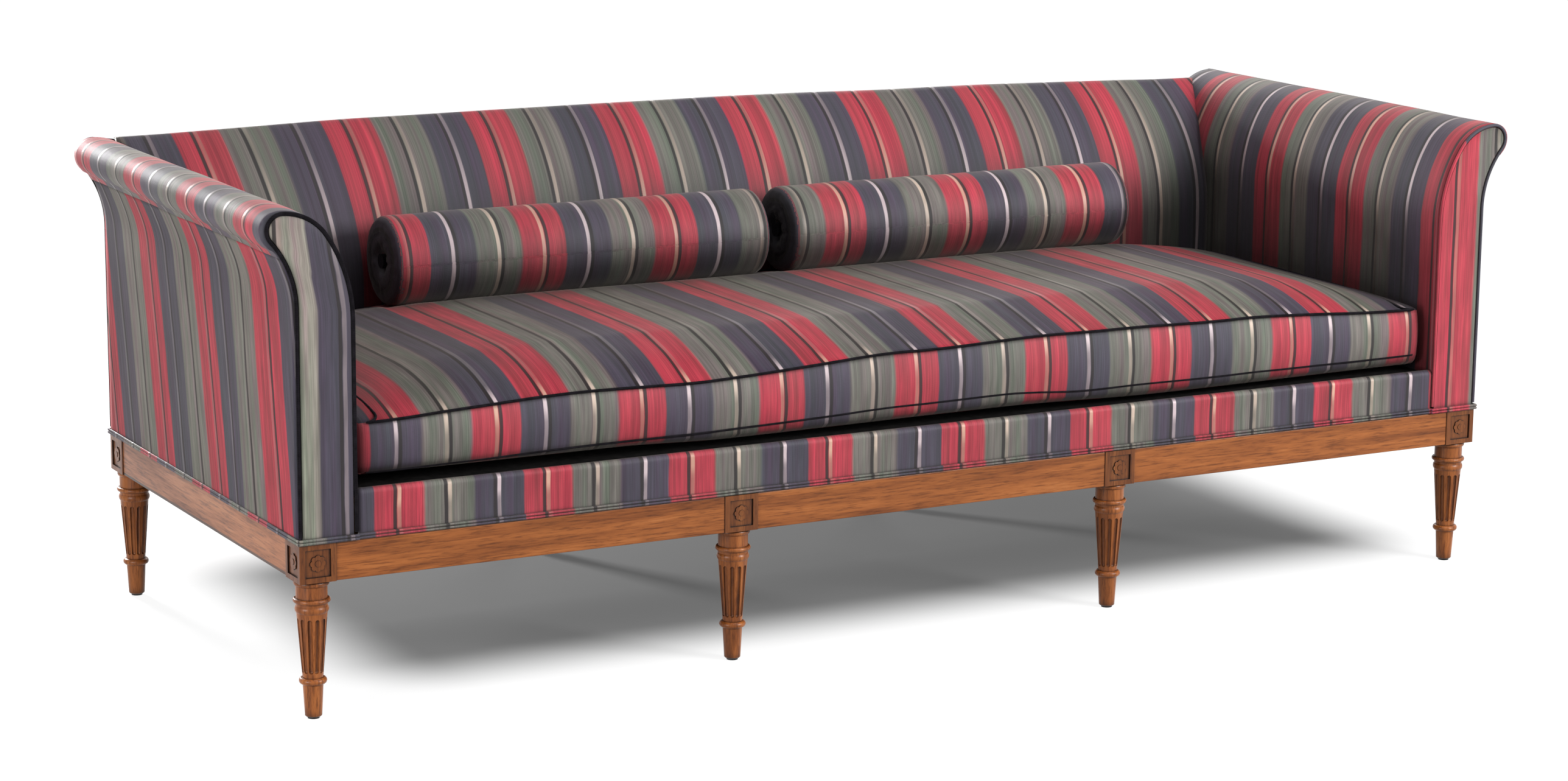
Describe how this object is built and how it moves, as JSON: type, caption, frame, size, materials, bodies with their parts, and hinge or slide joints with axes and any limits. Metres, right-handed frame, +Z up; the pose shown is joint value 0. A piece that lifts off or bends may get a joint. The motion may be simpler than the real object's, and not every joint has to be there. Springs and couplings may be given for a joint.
{
  "type": "sofa",
  "caption": "Long upholstered sofa with outward rolled arms, a loose seat cushion and loose bolsters, on a show-wood frame with turned and fluted legs.",
  "frame": {"origin": "on the floor, at the middle of the sofa's length and depth", "axes": "+X along the length to the right as seen from the front, +Y to the back, +Z up"},
  "size_m": [2.245, 0.8552, 0.764],
  "materials": {
    "show_wood": "satin polish on reddish brown hardwood",
    "striped_cover": "woven satin stripes in red, grey green and navy over stuffing",
    "welt_cord": "dark covered cord",
    "frame_wood": "sawn hardwood, unfinished",
    "webbing": "woven jute",
    "dust_cloth": "thin black cloth",
    "screw_steel": "plain steel",
    "glide": "black"
  },
  "bodies": {
    "frame": {"arm_base_rail_left": "frame_wood", "arm_base_rail_right": "frame_wood", "arm_facing_left": "striped_cover", "arm_facing_right": "striped_cover", "arm_front_post_left": "frame_wood", "arm_front_post_right": "frame_wood", "arm_outside_left": "striped_cover", "arm_outside_right": "striped_cover", "arm_pad_left": "striped_cover", "arm_pad_right": "striped_cover", "arm_rear_post_left": "frame_wood", "arm_rear_post_right": "frame_wood", "arm_top_rail_left": "frame_wood", "arm_top_rail_right": "frame_wood", "arm_welt_left": "welt_cord", "arm_welt_right": "welt_cord", "back_lower_rails": "frame_wood", "back_outside": "striped_cover", "back_pad": "striped_cover", "back_top_rail": "frame_wood", "back_upright_left": "frame_wood", "back_upright_right": "frame_wood", "back_webbing": "webbing", "back_welt": "welt_cord", "corner_brace_screws": "screw_steel", "corner_braces": "frame_wood", "dust_cover": "dust_cloth", "leg_back_inner_left": "show_wood", "leg_back_inner_right": "show_wood", "leg_back_left": "show_wood", "leg_back_right": "show_wood", "leg_front_inner_left": "show_wood", "leg_front_inner_right": "show_wood", "leg_front_left": "show_wood", "leg_front_right": "show_wood", "leg_glides": "glide", "rail_back_left": "show_wood", "rail_back_middle": "show_wood", "rail_back_right": "show_wood", "rail_front_left": "show_wood", "rail_front_middle": "show_wood", "rail_front_right": "show_wood", "rail_left": "show_wood", "rail_right": "show_wood", "rail_trim": "striped_cover", "seat_board_front": "frame_wood", "seat_boards_back": "frame_wood", "seat_deck": "striped_cover", "seat_stretcher_left": "frame_wood", "seat_stretcher_right": "frame_wood", "seat_webbing_across": "webbing", "seat_webbing_lengthwise": "webbing"},
    "seat_cushion": {"seat_cushion": "striped_cover"},
    "left_bolster": {"bolster_left": "striped_cover", "bolster_buttons_left": "striped_cover"},
    "right_bolster": {"bolster_right": "striped_cover", "bolster_buttons_right": "striped_cover"}
  },
  "joints": [
    {"name": "seat_cushion_lift", "type": "slide", "parent": "frame", "child": "seat_cushion", "axis": [0, 0, 1], "range_m": [0, 0.45]},
    {"name": "bolster_left_lift", "type": "slide", "parent": "seat_cushion", "child": "left_bolster", "axis": [0, 0, 1], "range_m": [0, 0.35]},
    {"name": "bolster_right_lift", "type": "slide", "parent": "seat_cushion", "child": "right_bolster", "axis": [0, 0, 1], "range_m": [0, 0.35]}
  ]
}
